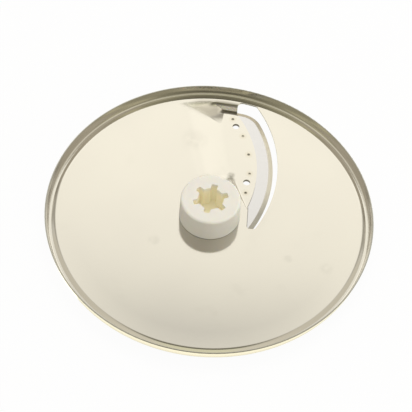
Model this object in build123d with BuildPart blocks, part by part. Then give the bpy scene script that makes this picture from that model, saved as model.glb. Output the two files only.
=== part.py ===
# Slicing disc of a food processor, lying with its drive hub upwards
# Z = 0 is the lower face of the blade, the Z axis is the axis of the disc
from build123d import *
import os
from math import acos, atan2, cos, degrees, hypot, radians, sin, sqrt, tan

os.makedirs("parts", exist_ok=True)

# Sheet of the disc
sheet = 0.8
rim_radius = 90.0
rim_height = 5.1
rim_lean_deg = 10.0
step_drop = 0.45
step_inset = 5.5
step_width = 2.0
step_soft = 4.5
bend_soft = 0.8
edge_soft = 0.3

# Arcs of the slot, the land and the blade share one centre
arc_x = -48.0
arc_y = 34.4
land_edge_radius = 72.9
slot_width = 11.5
blade_reach = 9.15

# Sunk land behind the slot: its outline on the flat, then the same outline on the land
land_depth = 4.0
press_outer_inset = 8.3
press_outer_degs = [93.0, 104.5]
press_inner_corners = [(-5.0, 25.0), (9.5, 25.5)]
land_outer_inset = 11.0
land_outer_degs = [87.4, 88.0]
land_facet = 10.5
land_inner_corners = [(7.5, 32.0), (12.6, 27.8)]
land_front = 3.1
press_front = 3.0
land_start_deg = -23.5
press_margin_deg = 1.5
lip_soft = 1.2
foot_soft = 1.4
under_soft = 0.7
ramp_soft = 12.0

# Ends of the slot
slot_outer_inset = 6.05
slot_outer_corner = 2.8
slot_heel = 1.0
slot_inner_y = -7.4
land_corner_y = 10.2
slot_corner = 1.8

# Blade
blade_thickness = 0.8
blade_margin = 1.8
bevel_width = 2.5
cutting_edge = 0.15
blade_outer_inset = 9.8
blade_corner = 14.0
blade_start_deg = -30.0
blade_margin_deg = 1.4
blade_heel_deg = 5.2
blade_tip = (19.8, -9.0)

# Tooling holes and spot welds, by their angles from the outer end of the land
hole_diameter = 4.0
hole_inset = 5.1
hole_gap_degs = [7.7, 43.1]
weld_diameter = 1.3
weld_depth = 0.35
weld_inset = 4.1
weld_count = 5
weld_gap_deg = 2.9
weld_pitch_deg = 11.6

# Hub
hub_base_radius = 16.8
hub_top_radius = 16.3
hub_height = 14.7
hub_top_soft = 1.3
hub_base_soft = 0.5
neck_radius = 12.0
neck_half_flat = 10.5
cap_radius = 15.0
cap_thickness = 3.0
cap_soft = 1.6

# Drive socket
socket_depth = 14.2
socket_radius = 7.0
notch_reach = 9.8
notch_width = 3.5
notch_count = 6
notch_turn_deg = 20.0
notch_soft = 0.8

# Heights and slopes that follow from the sizes above
land_under = blade_thickness
land_top = land_under + sheet
plate_under = land_under + land_depth
plate_top = plate_under + sheet
hub_top = plate_top + hub_height
crest = plate_top + rim_height
ring_top = plate_top - step_drop
ring_under = plate_under - step_drop
rim_slope = tan(radians(rim_lean_deg))
rim_width = sheet / cos(radians(rim_lean_deg))
step_shift = step_drop / 4
press_spread = 0.4 * sheet
bevel_depth = blade_thickness - cutting_edge

# Radii that follow from the sizes above
step_start_radius = rim_radius - step_inset
step_end_radius = step_start_radius + step_width
press_outer_radius = rim_radius - press_outer_inset
land_outer_radius = rim_radius - land_outer_inset
slot_outer_radius = rim_radius - slot_outer_inset
blade_outer_radius = rim_radius - blade_outer_inset
slot_radius = land_edge_radius + slot_width
blade_edge_radius = land_edge_radius + blade_reach
land_front_radius = land_edge_radius + land_front
press_front_radius = land_front_radius + press_front
hole_circle = land_edge_radius - hole_inset
weld_circle = land_edge_radius - weld_inset
blade_back_radius = hole_circle - hole_diameter / 2 - blade_margin
arc_reach = hypot(arc_x, arc_y)


# Point by its angle round the shared centre of the arcs
def on_arc(radius, angle_deg):
    return (arc_x + radius * cos(radians(angle_deg)), arc_y + radius * sin(radians(angle_deg)))


# Point by its angle round the axis of the disc
def on_disc(radius, angle_deg):
    return (radius * cos(radians(angle_deg)), radius * sin(radians(angle_deg)))


# Angle round the shared centre at which an arc meets a circle round the axis of the disc
def meet_deg(arc_radius, disc_radius):
    reach = (arc_reach**2 + arc_radius**2 - disc_radius**2) / (2 * arc_reach * arc_radius)
    return degrees(atan2(-arc_y, -arc_x) + acos(reach))


def middle(first, second, height):
    return Vector((first[0] + second[0]) / 2, (first[1] + second[1]) / 2, height)


# Outlines of the pressing
press_start_deg = land_start_deg - press_margin_deg
press_stop_deg = meet_deg(press_front_radius, press_outer_radius)
land_stop_deg = meet_deg(land_front_radius, land_outer_radius)
press_outer_corners = [on_disc(press_outer_radius, angle) for angle in press_outer_degs]
land_outer_corners = [
    on_disc(land_outer_radius, land_outer_degs[0]),
    on_disc(land_outer_radius - land_facet, land_outer_degs[1]),
]
press_corners = press_outer_corners + press_inner_corners
land_corners = land_outer_corners + land_inner_corners
levels = [
    (plate_under, press_front_radius, press_start_deg, press_stop_deg, press_corners),
    (land_under, land_front_radius, land_start_deg, land_stop_deg, land_corners),
]

# Ends of the slot and places along the land
land_end_deg = meet_deg(land_edge_radius, land_outer_radius)
slot_outer_x = on_arc(land_edge_radius, land_end_deg)[0] + slot_heel
slot_inner_x = arc_x + sqrt(land_edge_radius**2 - (land_corner_y - arc_y) ** 2)
blade_stop_deg = land_end_deg + blade_margin_deg
hole_degs = [land_end_deg - gap for gap in hole_gap_degs]
weld_degs = [land_end_deg - weld_gap_deg - weld_pitch_deg * i for i in range(weld_count)]

# Corners of the blade
blade_end = on_arc(blade_edge_radius, meet_deg(blade_edge_radius, blade_outer_radius))
blade_heel = on_arc(blade_back_radius, hole_degs[-1] - blade_heel_deg)

# Places on the bends of the pressing
land_outer_end = on_arc(land_front_radius, land_stop_deg)
land_inner_end = on_arc(land_front_radius, land_start_deg)
press_outer_end = on_arc(press_front_radius, press_stop_deg)
press_inner_end = on_arc(press_front_radius, press_start_deg)
ramp_foot = middle(land_corners[1], land_corners[2], land_top)
ramp_head = middle(press_corners[1], press_corners[2], plate_top)
outer_foot = middle(land_outer_end, land_corners[0], land_top)
inner_foot = middle(land_inner_end, land_corners[3], land_top)
outer_lip = middle(press_outer_end, press_corners[0], plate_top)
inner_lip = middle(press_inner_end, press_corners[3], plate_top)


# Inside of the sunk land
with BuildPart() as hollow:
    for height, radius, start_deg, stop_deg, corners in levels:
        with BuildSketch(Plane.XY.offset(height + sheet)):
            with BuildLine():
                Polyline(on_arc(radius, stop_deg), *corners, on_arc(radius, start_deg))
                ThreePointArc(
                    on_arc(radius, start_deg),
                    on_arc(radius, (start_deg + stop_deg) / 2),
                    on_arc(radius, stop_deg),
                )
            make_face()
    loft(ruled=True)
    fillet(hollow.edges().sort_by_distance(ramp_foot)[0], ramp_soft)
    fillet(hollow.edges().sort_by_distance(outer_foot)[0], foot_soft)
    fillet(hollow.edges().sort_by_distance(inner_foot)[0], foot_soft)

# Outside of the sunk land
with BuildPart() as bulge:
    for height, radius, start_deg, stop_deg, corners in levels:
        with BuildSketch(Plane.XY.offset(height)):
            with BuildLine():
                Polyline(on_arc(radius, stop_deg), *corners, on_arc(radius, start_deg))
                ThreePointArc(
                    on_arc(radius, start_deg),
                    on_arc(radius, (start_deg + stop_deg) / 2),
                    on_arc(radius, stop_deg),
                )
            make_face()
            offset(amount=press_spread, kind=Kind.INTERSECTION)
    loft(ruled=True)
    fillet(bulge.edges().sort_by_distance(ramp_foot)[0], ramp_soft + sheet)
    fillet(bulge.edges().sort_by_distance(outer_foot)[0], under_soft)
    fillet(bulge.edges().sort_by_distance(inner_foot)[0], under_soft)

# Disc plate
with BuildPart() as disc_plate:
    with BuildSketch(Plane.XZ):
        with BuildLine():
            FilletPolyline(
                (0, plate_top),
                (step_start_radius, plate_top),
                (step_end_radius, ring_top),
                (rim_radius - rim_width - rim_slope * (crest - ring_top), ring_top),
                (rim_radius - rim_width, crest),
                (rim_radius, crest),
                (rim_radius - rim_slope * (crest - ring_under), ring_under),
                (step_end_radius - step_shift, ring_under),
                (step_start_radius - step_shift, plate_under),
                (0, plate_under),
                radius=[
                    0,
                    step_soft,
                    bend_soft,
                    bend_soft,
                    edge_soft,
                    edge_soft,
                    bend_soft + sheet,
                    bend_soft,
                    step_soft,
                    0,
                ],
                close=True,
            )
        make_face()
    revolve(axis=Axis.Z)
    add(bulge.part)
    add(hollow.part, mode=Mode.SUBTRACT)
    fillet(disc_plate.edges().sort_by_distance(outer_lip)[0], lip_soft)
    fillet(disc_plate.edges().sort_by_distance(inner_lip)[0], lip_soft)
    fillet(disc_plate.edges().sort_by_distance(ramp_head)[0], ramp_soft)

    # Slot
    with BuildSketch(Plane.XY) as slot:
        with Locations((arc_x, arc_y)):
            Circle(slot_radius)
            Circle(land_edge_radius, mode=Mode.SUBTRACT)
        Circle(slot_outer_radius, mode=Mode.INTERSECT)
        with Locations((slot_outer_x, slot_inner_y)):
            Rectangle(rim_radius, 2 * rim_radius, align=(Align.MIN, Align.MIN), mode=Mode.INTERSECT)
        with Locations((slot_inner_x, land_corner_y)):
            Rectangle(rim_radius, rim_radius, align=(Align.MAX, Align.MAX), mode=Mode.SUBTRACT)
        fillet(slot.vertices().group_by(Axis.Y)[0], slot_corner)
        fillet(slot.vertices().sort_by(Axis.Y)[-1], slot_outer_corner)
    extrude(amount=crest, mode=Mode.SUBTRACT)

    # Tooling holes and spot welds
    with BuildSketch(Plane.XY):
        with Locations(*[on_arc(hole_circle, angle) for angle in hole_degs]):
            Circle(hole_diameter / 2)
    extrude(amount=crest, mode=Mode.SUBTRACT)
    with BuildSketch(Plane.XY.offset(land_top)):
        with Locations(*[on_arc(weld_circle, angle) for angle in weld_degs]):
            Circle(weld_diameter / 2)
    extrude(amount=-weld_depth, mode=Mode.SUBTRACT)

    # Middle hole with two flats, filled by the neck of the hub
    with BuildSketch(Plane.XY):
        Circle(neck_radius)
        Rectangle(2 * neck_radius, 2 * neck_half_flat, mode=Mode.INTERSECT)
    extrude(amount=crest, mode=Mode.SUBTRACT)
disc_plate.part.label = "disc_plate"
export_step(disc_plate.part, "parts/disc_plate.step")

# Blade
with BuildPart() as blade:
    with BuildSketch(Plane.XY) as outline:
        with Locations((arc_x, arc_y)):
            Circle(blade_edge_radius)
            Circle(blade_back_radius, mode=Mode.SUBTRACT)
        Circle(blade_outer_radius, mode=Mode.INTERSECT)
        with BuildLine():
            Polyline(
                (arc_x, arc_y),
                on_arc(2 * slot_radius, blade_start_deg),
                on_arc(2 * slot_radius, blade_stop_deg),
                close=True,
            )
        make_face(mode=Mode.INTERSECT)
        with BuildLine():
            Polyline(blade_heel, blade_tip, (arc_x, blade_tip[1]), (arc_x, blade_heel[1]), close=True)
        make_face(mode=Mode.SUBTRACT)
        fillet(outline.vertices().sort_by_distance(blade_end)[0], blade_corner)
    extrude(amount=blade_thickness)
    face = blade.faces().sort_by(Axis.Z)[-1]
    centre = Vector(arc_x, arc_y, blade_thickness)
    arcs = face.edges().filter_by(GeomType.CIRCLE)
    ground = [arc for arc in arcs if (arc @ 0.5 - centre).length > hole_circle]
    chamfer(ground, length=bevel_width, length2=bevel_depth, reference=face)
    with BuildSketch(Plane.XY):
        with Locations(*[on_arc(hole_circle, angle) for angle in hole_degs]):
            Circle(hole_diameter / 2)
    extrude(amount=blade_thickness, mode=Mode.SUBTRACT)
blade.part.label = "blade"
export_step(blade.part, "parts/blade.step")

# Hub
with BuildPart() as hub:
    with BuildSketch(Plane.XZ):
        with BuildLine():
            FilletPolyline(
                (0, plate_under - cap_thickness),
                (cap_radius, plate_under - cap_thickness),
                (cap_radius, plate_under),
                (0, plate_under),
                radius=[0, cap_soft, 0, 0],
                close=True,
            )
        make_face()
        with BuildLine():
            FilletPolyline(
                (0, plate_top),
                (hub_base_radius, plate_top),
                (hub_top_radius, hub_top),
                (0, hub_top),
                radius=[0, hub_base_soft, hub_top_soft, 0],
                close=True,
            )
        make_face()
    revolve(axis=Axis.Z)
    with BuildSketch(Plane.XY.offset(plate_under)):
        Circle(neck_radius)
        Rectangle(2 * neck_radius, 2 * neck_half_flat, mode=Mode.INTERSECT)
    extrude(amount=sheet)

    # Drive socket
    with BuildSketch(Plane.XY.offset(hub_top)) as socket:
        Circle(socket_radius)
        with PolarLocations(0, notch_count, start_angle=notch_turn_deg):
            Rectangle(notch_reach, notch_width, align=(Align.MIN, Align.CENTER))
        fillet(socket.vertices(), notch_soft)
    extrude(amount=-socket_depth, mode=Mode.SUBTRACT)
hub.part.label = "hub"
export_step(hub.part, "parts/hub.step")
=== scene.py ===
from math import cos, radians, sin

import bpy
from mathutils import Matrix, Vector


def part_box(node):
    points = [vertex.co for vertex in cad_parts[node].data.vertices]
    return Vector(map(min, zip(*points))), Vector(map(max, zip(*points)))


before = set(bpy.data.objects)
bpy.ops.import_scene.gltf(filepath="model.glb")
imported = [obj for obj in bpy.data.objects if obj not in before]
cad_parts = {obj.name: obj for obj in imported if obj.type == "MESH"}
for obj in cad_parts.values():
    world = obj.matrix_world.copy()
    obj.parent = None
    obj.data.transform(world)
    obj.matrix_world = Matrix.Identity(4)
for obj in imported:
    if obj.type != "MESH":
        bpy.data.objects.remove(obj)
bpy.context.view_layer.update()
scene = bpy.context.scene
scene.view_settings.view_transform = "Standard"

# Sheet thickness, the hub's height above the sheet, and heights on the disc, in metres
SHEET = 0.0008
HUB_HEIGHT = 0.0147
HUB_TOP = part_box("hub")[1][2]
PLATE_TOP = HUB_TOP - HUB_HEIGHT
LAND_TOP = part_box("blade")[1][2] + SHEET
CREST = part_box("disc_plate")[1][2]

# Spot welds on the land: the radius of their row round the arcs' centre, the angle of the first one, their
# pitch and the number of the last one
WELD_ROW = 0.0688
WELD_FIRST = radians(34.17)
WELD_PITCH = radians(11.6)
WELD_LAST = 4

# Shallow step inside the rim: where it starts and half the length of its bend, in metres, and its fall per
# metre
STEP_START = 0.0845
STEP_BEND = 0.0007
STEP_LEAN = 0.225

# Slight dish of the sheet just inside the step, as a rise per metre
DISH_LEAN = 0.011

# Centre of the slot's arcs and radius of its outer edge, in metres
ARC_CENTRE = (-0.048, 0.0344, 0)
SLOT_EDGE = 0.0844

# Camera, fitted to the photograph's view of the rim and the hub
CAMERA_REACH = 0.6625
CAMERA_RISE_DEG = 54.322
CAMERA_ROLL_DEG = 4.664
CAMERA_AIM = Vector((-0.00229, 0.005443, PLATE_TOP))
CAMERA_LENS = 105.1
CAMERA_SENSOR = 36
CAMERA_NEAR = 0.01


def add_camera():
    rise, roll = radians(CAMERA_RISE_DEG), radians(CAMERA_ROLL_DEG)
    place = Vector((0, -CAMERA_REACH * cos(rise), CAMERA_REACH * sin(rise) + PLATE_TOP))
    ahead = (CAMERA_AIM - place).normalized()
    right = ahead.cross(Vector((0, 0, 1))).normalized()
    up = right.cross(ahead)
    right, up = right * cos(roll) + up * sin(roll), up * cos(roll) - right * sin(roll)
    data = bpy.data.cameras.new("camera")
    data.lens = CAMERA_LENS
    data.sensor_width = CAMERA_SENSOR
    data.clip_start = CAMERA_NEAR
    camera = bpy.data.objects.new("camera", data)
    turn = Matrix((right, up, -ahead)).transposed().to_4x4()
    camera.matrix_world = Matrix.Translation(place) @ turn
    scene.collection.objects.link(camera)
    scene.camera = camera


class Nodes:
    """A node tree with short calls for adding nodes and links."""

    def __init__(self, tree):
        self.tree = tree
        tree.nodes.clear()

    def add(self, kind, inputs=None, **settings):
        node = self.tree.nodes.new("ShaderNode" + kind)
        for key, value in settings.items():
            setattr(node, key, value)
        for key, value in (inputs or {}).items():
            self.feed(node, key, value)
        return node

    def feed(self, node, key, value):
        socket = node.inputs[key]
        if isinstance(value, bpy.types.NodeSocket):
            self.tree.links.new(value, socket)
        else:
            socket.default_value = value

    def math(self, operation, first, second=0.0, third=0.0):
        return self.add("Math", {0: first, 1: second, 2: third}, operation=operation).outputs[0]

    def product(self, first, *others):
        for other in others:
            first = self.math("MULTIPLY", first, other)
        return first

    def vector(self, operation, first, second=(0, 0, 0)):
        node = self.add("VectorMath", {0: first, 1: second}, operation=operation)
        return node.outputs["Value" if operation in ("DISTANCE", "LENGTH", "DOT_PRODUCT") else "Vector"]

    def range(self, value, low, high, to_low=0.0, to_high=1.0, smooth=False):
        node = self.add(
            "MapRange",
            {"Value": value, "From Min": low, "From Max": high, "To Min": to_low, "To Max": to_high},
            interpolation_type="SMOOTHSTEP" if smooth else "LINEAR",
        )
        return node.outputs["Result"]

    def ramp(self, value, stops):
        node = self.add("ValToRGB", {"Fac": value})
        elements = node.color_ramp.elements
        while len(elements) < len(stops):
            elements.new(0.5)
        for element, (position, colour) in zip(elements, stops):
            element.position = position
            element.color = (*colour, 1)
        return node.outputs["Color"]

    def mix(self, share, first, second):
        node = self.add("Mix", data_type="RGBA")
        for key, value in ((0, share), (6, first), (7, second)):
            self.feed(node, key, value)
        return node.outputs[2]

    def noise(self, place, scale, detail=3.0, roughness=0.5):
        inputs = {"Vector": place, "Scale": scale, "Detail": detail, "Roughness": roughness}
        return self.add("TexNoise", inputs).outputs["Fac"]

    def split(self, place):
        return self.add("SeparateXYZ", {0: place}).outputs

    def join(self, first, second):
        return self.add("CombineXYZ", {0: first, 1: second}).outputs[0]


def tone(level, tint):
    return tuple(level * part for part in tint)


# Tints of the studio
PALE = (1.0, 0.985, 0.92)
CREAM = (1.0, 0.98, 0.885)
WARM = (1.0, 0.95, 0.8)
OLIVE = (1.0, 0.975, 0.72)

# The studio's strength for reflections, which keeps the ramps' colours below 1, and the gain of their levels
STUDIO_STRENGTH = 2.4
STUDIO_GAIN = 1.19

# Levels of the studio over the way's y, from the front to the back: the card behind, then all of it in the middle
# and beside the middle
CARD = [
    (0.46, 0.55, WARM),
    (0.494, 0.79, PALE),
    (0.52, 1.01, CREAM),
    (0.545, 1.17, CREAM),
    (0.6, 1.27, CREAM),
    (0.72, 1.38, CREAM),
    (0.95, 1.3, CREAM),
]
MIDDLE = [
    (-0.88, 0.6, OLIVE),
    (-0.84, 1.0, OLIVE),
    (-0.79, 0.6, OLIVE),
    (-0.74, 0.33, OLIVE),
    (-0.6, 0.22, OLIVE),
    (-0.45, 0.25, OLIVE),
    (-0.36, 0.42, OLIVE),
    (-0.05, 0.75, OLIVE),
    (0.17, 0.95, OLIVE),
    (0.23, 0.25, OLIVE),
    (0.4, 0.2, OLIVE),
    *CARD,
]
BESIDE = [
    (-0.86, 0.8, OLIVE),
    (-0.77, 0.6, OLIVE),
    (-0.6, 0.56, OLIVE),
    (-0.42, 0.58, OLIVE),
    (-0.34, 0.95, OLIVE),
    (-0.26, 0.95, OLIVE),
    (-0.15, 0.6, OLIVE),
    (-0.08, 0.75, WARM),
    (0.1, 0.85, WARM),
    (0.25, 0.74, WARM),
    (0.46, 0.76, WARM),
    *CARD[1:],
]

# How far aside the middle gives way to what is beside it: its start, and its end over the way's y
ASIDE_START = 0.08
ASIDE_END = (-0.3, -0.1, 0.6, 0.16)

# The card's slanted edge: its slope and offset, its stops across, its level, and where it fades at the back and
# at the front
EDGE_SLOPE = 1.5
EDGE_OFFSET = -0.87
EDGE_STOPS = [(0.24, (0, 0, 0)), (0.38, (1, 1, 1)), (0.54, (1, 1, 1)), (0.6, (0, 0, 0))]
EDGE_LEVEL = 0.54
EDGE_BACK = (0.75, 0.65)
EDGE_FRONT = (0.45, 0.52)

# The studio low down: where it starts over the way's z, where it fades at the back, and its level
LOW_START = (0.45, 0.35)
LOW_BACK = (0.75, 0.55)
LOW_LEVEL = 0.9

# What the world gives to matt surfaces, and what the camera sees of it
PLAIN_COLOUR = (1.0, 0.97, 0.92, 1)
PLAIN_STRENGTH = 0.68
WHITE = (1, 1, 1, 1)


def add_world():
    """A studio as the polished steel shows it: a bright card behind, gaps above and darkness in front."""
    world = bpy.data.worlds.new("studio")
    world.use_nodes = True
    scene.world = world
    n = Nodes(world.node_tree)
    parts = n.split(n.add("TexCoord").outputs["Generated"])
    aside = n.math("ABSOLUTE", parts[0])
    ahead = n.range(parts[1], -1.0, 1.0)

    def sweep(levels):
        gain = STUDIO_GAIN / STUDIO_STRENGTH
        return n.ramp(ahead, [((y + 1) / 2, tone(gain * level, tint)) for y, level, tint in levels])

    share = n.range(aside, ASIDE_START, n.range(parts[1], *ASIDE_END), smooth=True)
    over = n.mix(share, sweep(MIDDLE), sweep(BESIDE))
    slant = n.math("SUBTRACT", aside, n.math("MULTIPLY_ADD", parts[1], EDGE_SLOPE, EDGE_OFFSET))
    edge = n.product(
        n.ramp(slant, EDGE_STOPS),
        n.range(parts[1], *EDGE_BACK, smooth=True),
        n.range(parts[1], *EDGE_FRONT, smooth=True),
    )
    sides = n.mix(edge, over, (*tone(EDGE_LEVEL / STUDIO_STRENGTH, WARM), 1))
    low = n.product(n.range(parts[2], *LOW_START, smooth=True), n.range(parts[1], *LOW_BACK, smooth=True))
    around = n.mix(low, sides, (*tone(LOW_LEVEL / STUDIO_STRENGTH, WARM), 1))
    shown = n.add("Background", {"Color": around, "Strength": STUDIO_STRENGTH})
    plain = n.add("Background", {"Color": PLAIN_COLOUR, "Strength": PLAIN_STRENGTH})
    white = n.add("Background", {"Color": WHITE, "Strength": 1.0})
    path = n.add("LightPath").outputs
    soft = n.add("MixShader", {0: path["Is Glossy Ray"], 1: plain.outputs[0], 2: shown.outputs[0]})
    seen = n.add("MixShader", {0: path["Is Camera Ray"], 1: soft.outputs[0], 2: white.outputs[0]})
    n.add("OutputWorld", {"Surface": seen.outputs[0]})


# Lamps: name, place, size in metres and energy in watts; both aim at one place on the axis
LAMPS = [
    ("top_lamp", (0.1, 0.5, 1.2), 0.8, 4.5),
    ("side_lamp", (0.9, -0.15, 0.25), 0.5, 1.8),
]
LAMP_AIM = Vector((0, 0, 0.01))


def add_lamp(name, place, size, energy):
    data = bpy.data.lights.new(name, "AREA")
    data.shape = "DISK"
    data.size = size
    data.energy = energy
    lamp = bpy.data.objects.new(name, data)
    lamp.location = place
    lamp.rotation_mode = "QUATERNION"
    lamp.rotation_quaternion = (LAMP_AIM - Vector(place)).to_track_quat("-Z", "Y")
    lamp.visible_glossy = False
    scene.collection.objects.link(lamp)


# Floor: half its width and its drop below the disc, in metres, its colours, and the share of plain white in it
FLOOR_HALF = 3.0
FLOOR_DROP = 0.0003
FLOOR_MATT = (0.9, 0.89, 0.86, 1)
FLOOR_WARM = (1, 0.96, 0.76, 1)
FLOOR_WHITE_SHARE = 0.95

# What the steel reflects of the floor is painted shadow under the disc, and painted light in two places: round
# the disc, fading further out, and below the slot, in a band with this radius and half width; then its strengths
# elsewhere and in these places
OPEN_FLOOR = (0.084, 0.094)
OPEN_FLOOR_FADE = (0.095, 0.103, 1.0, 0.45)
BELOW_SLOT = (SLOT_EDGE - 0.001, 0.012)
PAINTED_FLOOR_GLOW = (0.0, 1.0, 0.3, 1.9)


def add_floor():
    half = FLOOR_HALF
    corners = [(-half, -half, 0), (half, -half, 0), (half, half, 0), (-half, half, 0)]
    mesh = bpy.data.meshes.new("floor")
    mesh.from_pydata(corners, [], [(0, 1, 2, 3)])
    floor = bpy.data.objects.new("floor", mesh)
    floor.location.z = -FLOOR_DROP
    scene.collection.objects.link(floor)
    material = bpy.data.materials.new("floor_white")
    material.use_nodes = True
    n = Nodes(material.node_tree)
    place = n.add("TexCoord").outputs["Object"]
    out_from_axis = n.vector("LENGTH", place)
    painted_light_round_disc = n.product(
        n.range(out_from_axis, *OPEN_FLOOR, smooth=True),
        n.range(out_from_axis, *OPEN_FLOOR_FADE, smooth=True),
    )
    painted_light_below_slot = n.math("COMPARE", n.vector("DISTANCE", place, ARC_CENTRE), *BELOW_SLOT)
    # Painted shadow under the disc, painted light round it and below the slot, in what the steel reflects of the
    # floor
    strength = n.range(n.math("MAXIMUM", painted_light_round_disc, painted_light_below_slot), *PAINTED_FLOOR_GLOW)
    matt = n.add("BsdfDiffuse", {"Color": FLOOR_MATT})
    glow = n.add("Emission", {"Color": WHITE, "Strength": 1.0})
    warm = n.add("Emission", {"Color": FLOOR_WARM, "Strength": strength})
    path = n.add("LightPath").outputs
    lit = n.add("MixShader", {0: FLOOR_WHITE_SHARE, 1: matt.outputs[0], 2: glow.outputs[0]})
    plain = n.add("MixShader", {0: path["Is Glossy Ray"], 1: matt.outputs[0], 2: warm.outputs[0]})
    out = n.add("MixShader", {0: path["Is Camera Ray"], 1: plain.outputs[0], 2: lit.outputs[0]})
    n.add("OutputMaterial", {"Surface": out.outputs[0]})
    mesh.materials.append(material)


def new_material(name):
    material = bpy.data.materials.new(name)
    material.use_nodes = True
    n = Nodes(material.node_tree)
    shader = n.add("BsdfPrincipled")
    n.add("OutputMaterial", {"Surface": shader.outputs[0]})
    place = n.add("TexCoord").outputs["Object"]
    return material, n, shader, place


# In spans, a mask goes from 0 at the first number to 1 at the second, or from the third number to the fourth
MID_NOISE = (0.3, 0.7)

# Colours of the sheet, of the marks on it, and of the light and shade painted on it
SHEET_DARK = (0.58, 0.555, 0.515, 1)
SHEET_LIGHT = (0.6, 0.575, 0.53, 1)
SMEAR_COLOUR = (0.42, 0.4, 0.36, 1)
CUT_COLOUR = (0.42, 0.41, 0.38, 1)
FACET_PAINTED_LIGHT = (0.69, 0.665, 0.61, 1)
BROW_PAINTED_LIGHT = (0.95, 0.92, 0.85, 1)
STRIP_PAINTED_SHADE = (0.49, 0.465, 0.42, 1)
WALL_PAINTED_LIGHT = (0.9, 0.87, 0.8, 1)
PAINTED_SHADE_COLOUR = (0.08, 0.07, 0.05, 1)
SMUDGE_AND_SHADE_COLOUR = (0.2, 0.19, 0.16, 1)
CREST_COLOUR = (0.36, 0.35, 0.32, 1)
HEAT_COLOUR = (0.5, 0.45, 0.34, 1)
WELD_COLOUR = (0.1, 0.09, 0.07, 1)

# Polishing lines, clouds and smears of the sheet, and how rough they, the cut edges and the rim are
LINES_PER_METRE = 2600.0
CLOUD_SCALE = 18.0
SMEAR_SCALE = 55.0
SMEAR_NOISE = (0.62, 0.8)
SMEAR_SHARE = 0.06
SMEAR_ROUGHNESS = 0.05
LINE_ROUGHNESS = (0.08, 0.12)
CUT_ROUGHNESS = 0.3
RIM_ROUGHNESS = (0.0864, 0.087, 0.0, 0.05)

# Cut edges of the sheet: how upright their normal is, and the radius they lie within
CUT_UPRIGHT = (0.3, 0.2)
CUT_RADIUS = (0.0852, 0.085)

# The fold at the facet's foot, as its direction across in the plane of the sheet, and the span over it
FOLD_ACROSS = (0.479, 0.878, 0)
PAST_FOLD = ("fold", 0.0592, 0.0604)
FACET = [PAST_FOLD, ("radius", 0.0822, 0.0812)]

# Painted light and shade at the pressing's outer end, each with the spans whose masks are multiplied: painted
# light on the facet and on its brow, painted shade on the strip beside the rim, painted light on the wall, and
# painted shade along the wall's brink, at its foot and at its lip
PAINTED_TONES = [
    (FACET_PAINTED_LIGHT, [*FACET, ("x", -0.001, -0.012)]),
    (
        BROW_PAINTED_LIGHT,
        [*FACET, ("radius", 0.0783, 0.0797), ("radius", 0.0818, 0.0808), ("x", -0.003, -0.009, 0.0, 0.6)],
    ),
    # Painted shade on the strip beside the rim
    (
        STRIP_PAINTED_SHADE,
        [
            PAST_FOLD,
            ("radius", 0.0808, 0.0816),
            ("radius", 0.0838, 0.0832),
            ("x", -0.017, -0.011),
            ("x", 0.016, 0.004),
        ],
    ),
    (
        WALL_PAINTED_LIGHT,
        [
            PAST_FOLD,
            ("z", LAND_TOP + 0.0007, LAND_TOP + 0.0011),
            ("z", PLATE_TOP - 0.0009, PLATE_TOP - 0.0013),
            ("radius", 0.0755, 0.0765),
            ("x", -0.001, 0.002),
            ("x", 0.004, 0.012, 0.8, 0.35),
        ],
    ),
    # Painted shade along the wall's brink, at its foot and at its lip
    (
        PAINTED_SHADE_COLOUR,
        [
            PAST_FOLD,
            ("radius", 0.0832, 0.0818, 0.0, 0.5),
            ("z", PLATE_TOP - 0.0006, PLATE_TOP - 0.0003),
            ("x", -0.004, -0.001),
            ("x", 0.02, 0.016),
        ],
    ),
    (PAINTED_SHADE_COLOUR, [("z", LAND_TOP + 0.0009, LAND_TOP + 0.0005, 0.0, 0.9), ("radius", 0.0767, 0.0771)]),
    (
        PAINTED_SHADE_COLOUR,
        [
            ("z", PLATE_TOP - 0.0002, PLATE_TOP - 0.0005, 0.0, 0.675),
            ("z", PLATE_TOP - 0.0014, PLATE_TOP - 0.0009),
            ("radius", 0.0825, 0.0822),
            ("radius", 0.0785, 0.079),
            ("x", -0.006, -0.004),
        ],
    ),
]

# Smudges on the sheet: centre, reach and strength; the first two, at the inner end of the pressing, are painted
# shade in its corner, the others faint smudges
SMUDGES_AND_SHADE = [
    ((0.0099, 0.0288), 0.0028, 0.5),
    ((0.0106, 0.0318), 0.0026, 0.5),
    ((-0.012, 0.053), 0.01, 0.08),
    ((-0.0287, -0.0202), 0.0045, 0.09),
    ((0.0442, -0.025), 0.0035, 0.09),
    ((0.0648, -0.0293), 0.005, 0.06),
]
SMUDGE_CORE = 0.3
MOTTLE_SCALE = 260.0
MOTTLE_NOISE = (0.25, 0.5)

# Top edge of the rim, and the heat tint and dark dot of each spot weld over the distance from it
CREST_SPAN = (CREST - 0.0004, CREST - 0.0002)
HEAT_SPAN = (0.0028, 0.001, 0.0, 0.35)
DOT_SPAN = (0.0011, 0.0006)
DOT_STRENGTH = (0.0, 1.0, 0.4, 0.7)

# Where the sheet's bends are shaded round: at the facet and at the inner end, both within the pressing
ROUND_OUTER = [("x", -0.003, -0.0055), ("radius", 0.0825, 0.0815)]
ROUND_INNER = [("x", 0.0135, 0.0115), ("y", 0.039, 0.036)]
PRESSED = [("y", 0.018, 0.021), ("x", -0.04, -0.035)]
ROUND_RADIUS = 0.005
ROUND_SAMPLES = 12

# The small place at the inner end of the pressing that is shaded level
LEVEL_CENTRE = (0.0035, 0.0285, 0)
LEVEL_SPAN = (0.0065, 0.003, 0.0, 0.8)
UPWARD = (0, 0, 1, 1)


def cover(n, measures, spans):
    """The product of the spans' masks, each over the measure that the span names."""
    return n.product(*[n.range(measures[name], *span) for name, *span in spans])


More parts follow.
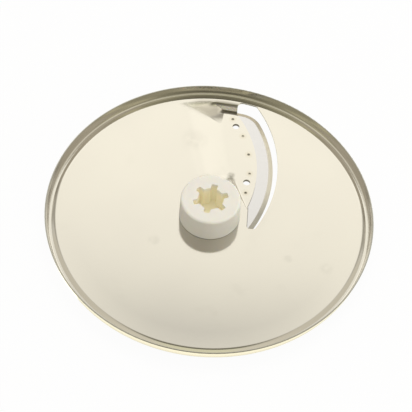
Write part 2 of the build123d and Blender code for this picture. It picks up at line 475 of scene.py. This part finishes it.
def disc_steel():
    """Polished stainless sheet, with polishing lines round the axis, faint smears, and painted light and shade on
    the pressing.
    """
    material, n, shader, place = new_material("polished_steel")
    x, y, z = n.split(place)
    flat = n.join(x, y)
    away = n.vector("LENGTH", flat)
    fold = n.vector("DOT_PRODUCT", flat, FOLD_ACROSS)
    measures = {"x": x, "y": y, "z": z, "radius": away, "fold": fold}
    rings = n.join(n.math("MULTIPLY", away, LINES_PER_METRE), z)
    lines = n.noise(rings, scale=1.0, detail=2.0)
    smear = n.range(n.noise(place, SMEAR_SCALE, detail=4.0, roughness=0.6), *SMEAR_NOISE)
    upright = n.math("ABSOLUTE", n.split(n.add("NewGeometry").outputs["Normal"])[2])
    cut = n.product(n.range(upright, *CUT_UPRIGHT), n.range(away, *CUT_RADIUS))

    base = n.mix(n.range(n.noise(place, CLOUD_SCALE), *MID_NOISE), SHEET_DARK, SHEET_LIGHT)
    base = n.mix(n.math("MULTIPLY", smear, SMEAR_SHARE), base, SMEAR_COLOUR)
    base = n.mix(cut, base, CUT_COLOUR)
    # Painted light and shade at the pressing's outer end
    for colour, spans in PAINTED_TONES:
        base = n.mix(cover(n, measures, spans), base, colour)
    mottle = n.range(n.noise(place, MOTTLE_SCALE), *MOTTLE_NOISE)
    # Smudges, the first two of them painted shade in the corner at the inner end of the pressing
    for centre, reach, strength in SMUDGES_AND_SHADE:
        near = n.range(n.vector("DISTANCE", flat, (*centre, 0)), reach, SMUDGE_CORE * reach, smooth=True)
        base = n.mix(n.product(near, mottle, strength), base, SMUDGE_AND_SHADE_COLOUR)
    base = n.mix(n.range(z, *CREST_SPAN), base, CREST_COLOUR)
    weld, number = weld_place(n, place)
    burnt = n.math("PINGPONG", n.math("ADD", number, 1.0), 1.0)
    base = n.mix(n.range(weld, *HEAT_SPAN), base, HEAT_COLOUR)
    base = n.mix(n.product(n.range(weld, *DOT_SPAN), n.range(burnt, *DOT_STRENGTH)), base, WELD_COLOUR)

    rough = n.range(lines, *MID_NOISE, *LINE_ROUGHNESS)
    rough = n.math("ADD", rough, n.math("MULTIPLY", smear, SMEAR_ROUGHNESS))
    rough = n.math("ADD", rough, n.math("MULTIPLY", cut, CUT_ROUGHNESS))
    rough = n.math("ADD", rough, n.range(away, *RIM_ROUGHNESS))

    ends = n.math("MAXIMUM", cover(n, measures, ROUND_OUTER), cover(n, measures, ROUND_INNER))
    bend = n.add("Bevel", {"Radius": ROUND_RADIUS}, samples=ROUND_SAMPLES).outputs[0]
    share = n.product(ends, cover(n, measures, PRESSED))
    normal = n.mix(share, step_normal(n, flat, away, z), bend)
    level = n.range(n.vector("DISTANCE", flat, LEVEL_CENTRE), *LEVEL_SPAN, smooth=True)

    n.feed(shader, "Base Color", base)
    n.feed(shader, "Roughness", rough)
    n.feed(shader, "Metallic", 1.0)
    n.feed(shader, "Normal", n.mix(level, normal, UPWARD))
    return material


def weld_place(n, place):
    """Distance from the nearest spot weld in the row on the land, and that weld's number."""
    x, y, _ = n.split(n.vector("SUBTRACT", place, ARC_CENTRE))
    steps = n.math("DIVIDE", n.math("SUBTRACT", WELD_FIRST, n.math("ARCTAN2", y, x)), WELD_PITCH)
    number = n.math("MINIMUM", n.math("MAXIMUM", n.math("ROUND", steps), 0.0), WELD_LAST)
    along = n.math("MULTIPLY", n.math("SUBTRACT", steps, number), WELD_PITCH * WELD_ROW)
    across = n.math("SUBTRACT", n.vector("LENGTH", n.join(x, y)), WELD_ROW)
    return n.vector("LENGTH", n.join(along, across)), number


# The step's bend and its end at the rim, and the dish inside it, all over the radius
STEP_SPAN = (STEP_START - STEP_BEND, STEP_START + STEP_BEND)
STEP_END = (0.0866, 0.0864)
DISH_SPAN = (STEP_START - 0.01, STEP_START - 0.001)

# Where the true normal is used: on the step, and on the level top of the sheet, each by radius and by height
STEP_INNER = (0.083, 0.0832)
STEP_OUTER = (0.08668, 0.08664)
STEP_HEIGHT = (PLATE_TOP - 0.0002, 0.0004)
SHEET_RADIUS = (0.084, 0.0838)
SHEET_HEIGHT = (PLATE_TOP, 0.00003)


def step_normal(n, flat, away, height):
    """The true normal on the shallow step inside the rim and the dish in it, free of the facets of the mesh."""
    slope = n.product(n.range(away, *STEP_SPAN), n.range(away, *STEP_END))
    dish = n.math("MULTIPLY", n.range(away, *DISH_SPAN), DISH_LEAN)
    lean = n.math("SUBTRACT", n.math("MULTIPLY", slope, STEP_LEAN), dish)
    outward = n.add("VectorMath", {0: n.vector("NORMALIZE", flat), "Scale": lean}, operation="SCALE").outputs[0]
    true = n.vector("NORMALIZE", n.vector("ADD", outward, (0, 0, 1)))
    step = n.product(
        n.range(away, *STEP_INNER),
        n.range(away, *STEP_OUTER),
        n.math("COMPARE", height, *STEP_HEIGHT),
    )
    sheet = n.product(n.range(away, *SHEET_RADIUS), n.math("COMPARE", height, *SHEET_HEIGHT))
    return n.mix(n.math("MAXIMUM", step, sheet), n.add("NewGeometry").outputs["Normal"], true)


# Blade: the scale of its grinding lines along x and y, its colours, the upright part of the normal that tells its
# bevel, and the bevel's colours along y
GRIND_X = 120.0
GRIND_Y = 3000.0
BLADE_DARK = (0.53, 0.522, 0.54, 1)
BLADE_LIGHT = (0.57, 0.562, 0.58, 1)
BLADE_ROUGHNESS = (0.1, 0.18)
BEVEL_UPRIGHT = (0.995, 0.985)
BEVEL_ROUGHNESS = 0.4
BEVEL_LENGTH = (-0.01, 0.08)
BEVEL_GREY = (0.5, 0.485, 0.46)
BEVEL_BRIGHT = (0.8, 0.77, 0.72)
BEVEL_TAN = (0.5, 0.46, 0.4)
BEVEL_STOPS = [(0.18, BEVEL_GREY), (0.38, BEVEL_BRIGHT), (0.75, BEVEL_BRIGHT), (0.93, BEVEL_TAN)]

# Painted shadow line on the blade beside the plate's edge, at the blade's inner end: its place and half width
# along x, its end along y, strength and colour
SHADOW_LINE_PLACE = (0.0211, 0.0003)
SHADOW_LINE_END = (0.0105, 0.01)
SHADOW_LINE_STRENGTH = 0.7
SHADOW_LINE_COLOUR = (0.2, 0.19, 0.17, 1)


def blade_steel():
    """Ground blade steel, a little cooler and less polished than the sheet."""
    material, n, shader, place = new_material("ground_steel")
    x, y, _ = n.split(place)
    ground = n.join(n.math("MULTIPLY", x, GRIND_X), n.math("MULTIPLY", y, GRIND_Y))
    lines = n.noise(ground, scale=1.0, detail=2.0)
    bevel = n.range(n.split(n.add("NewGeometry").outputs["Normal"])[2], *BEVEL_UPRIGHT)
    base = n.mix(n.range(lines, *MID_NOISE), BLADE_DARK, BLADE_LIGHT)
    base = n.mix(bevel, base, n.ramp(n.range(y, *BEVEL_LENGTH), BEVEL_STOPS))
    # Painted shadow line beside the plate's edge
    painted_shadow_line = n.product(n.math("COMPARE", x, *SHADOW_LINE_PLACE), n.range(y, *SHADOW_LINE_END), SHADOW_LINE_STRENGTH)
    base = n.mix(painted_shadow_line, base, SHADOW_LINE_COLOUR)
    rough = n.math("MULTIPLY_ADD", bevel, BEVEL_ROUGHNESS, n.range(lines, *MID_NOISE, *BLADE_ROUGHNESS))
    n.feed(shader, "Base Color", base)
    n.feed(shader, "Roughness", rough)
    n.feed(shader, "Metallic", 1.0)
    return material


# Hub: its colours, clouds and grain, and the socket's depth and radius, within which it has painted yellow light
# and a painted glow, for light that goes round in the plastic
HUB_DARK = (0.835, 0.815, 0.745, 1)
HUB_LIGHT = (0.855, 0.835, 0.765, 1)
HUB_CLOUD_SCALE = 120.0
HUB_ROUGHNESS = (0.42, 0.5)
GRAIN_SCALE = 2500.0
GRAIN_STRENGTH = 0.06
GRAIN_DEPTH = 0.0002
SOCKET_DEPTH = (HUB_TOP - 0.0002, HUB_TOP - 0.004)
SOCKET_RADIUS = (0.0105, 0.0101)
SOCKET_PAINTED_LIGHT = (0.84, 0.78, 0.56, 1)
SOCKET_PAINTED_LIGHT_SHARE = 0.7
SOCKET_PAINTED_GLOW = (1.0, 0.92, 0.62, 1)
SOCKET_PAINTED_GLOW_STRENGTH = 0.1

# Light that spreads under the plastic's surface: its share, its radii for red, green and blue, and their scale
SPREAD_WEIGHT = 0.3
SPREAD_RADII = (1.0, 0.75, 0.4)
SPREAD_SCALE = 0.004


def hub_plastic():
    """Cream moulded plastic, with painted yellow light and a painted glow inside the socket, for light that goes
    round in it.
    """
    material, n, shader, place = new_material("moulded_plastic")
    x, y, z = n.split(place)
    away = n.vector("LENGTH", n.join(x, y))
    inside = n.product(n.range(z, *SOCKET_DEPTH, smooth=True), n.range(away, *SOCKET_RADIUS))
    cloud = n.noise(place, HUB_CLOUD_SCALE)
    base = n.mix(n.range(cloud, *MID_NOISE), HUB_DARK, HUB_LIGHT)
    # Painted yellow light and painted glow inside the socket
    base = n.mix(n.math("MULTIPLY", inside, SOCKET_PAINTED_LIGHT_SHARE), base, SOCKET_PAINTED_LIGHT)
    grain = n.noise(place, GRAIN_SCALE, detail=2.0)
    bump = n.add("Bump", {"Strength": GRAIN_STRENGTH, "Distance": GRAIN_DEPTH, "Height": grain})
    n.feed(shader, "Base Color", base)
    n.feed(shader, "Roughness", n.range(cloud, *MID_NOISE, *HUB_ROUGHNESS))
    n.feed(shader, "Emission Color", SOCKET_PAINTED_GLOW)
    n.feed(shader, "Emission Strength", n.math("MULTIPLY", inside, SOCKET_PAINTED_GLOW_STRENGTH))
    n.feed(shader, "Normal", bump.outputs[0])
    n.feed(shader, "Subsurface Weight", SPREAD_WEIGHT)
    n.feed(shader, "Subsurface Radius", SPREAD_RADII)
    n.feed(shader, "Subsurface Scale", SPREAD_SCALE)
    return material


def dress(node, material):
    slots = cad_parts[node].data.materials
    slots.clear()
    slots.append(material)


add_camera()
add_world()
add_floor()
for lamp in LAMPS:
    add_lamp(*lamp)
dress("disc_plate", disc_steel())
dress("blade", blade_steel())
dress("hub", hub_plastic())
